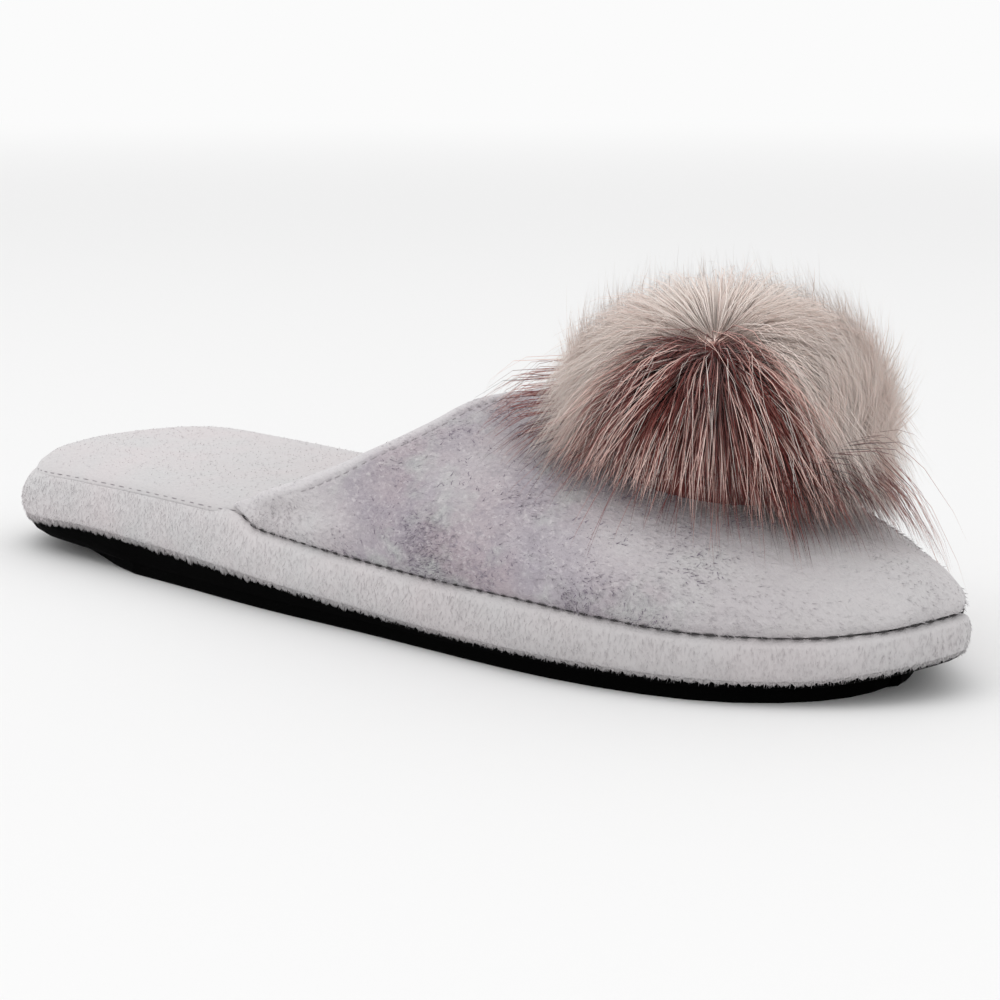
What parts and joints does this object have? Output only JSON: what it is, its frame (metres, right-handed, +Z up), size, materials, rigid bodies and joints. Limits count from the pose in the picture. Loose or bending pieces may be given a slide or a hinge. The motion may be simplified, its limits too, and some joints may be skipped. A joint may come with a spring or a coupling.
{
  "type": "pom pom slipper",
  "caption": "Open-backed plush mule slipper, right shoe, with a padded insole, a flat moulded rubber outsole and a faux fur pompom on the vamp.",
  "frame": {"origin": "on the floor in the middle of the flat spot under the heel", "axes": "+X towards the toe, +Y towards the inner side of the foot, +Z up"},
  "size_m": [0.2616, 0.0896, 0.0803],
  "materials": {
    "outsole": "matt black moulded rubber",
    "platform": "pale grey plush over foam",
    "insole": "pale grey short plush over foam",
    "upper": "crushed grey lilac plush",
    "pom_pom": "long faux fur, pale pink with rust brown roots"
  },
  "bodies": {
    "root": {"outsole": "outsole", "platform": "platform", "insole": "insole", "upper": "upper", "pom_pom": "pom_pom"}
  },
  "joints": []
}
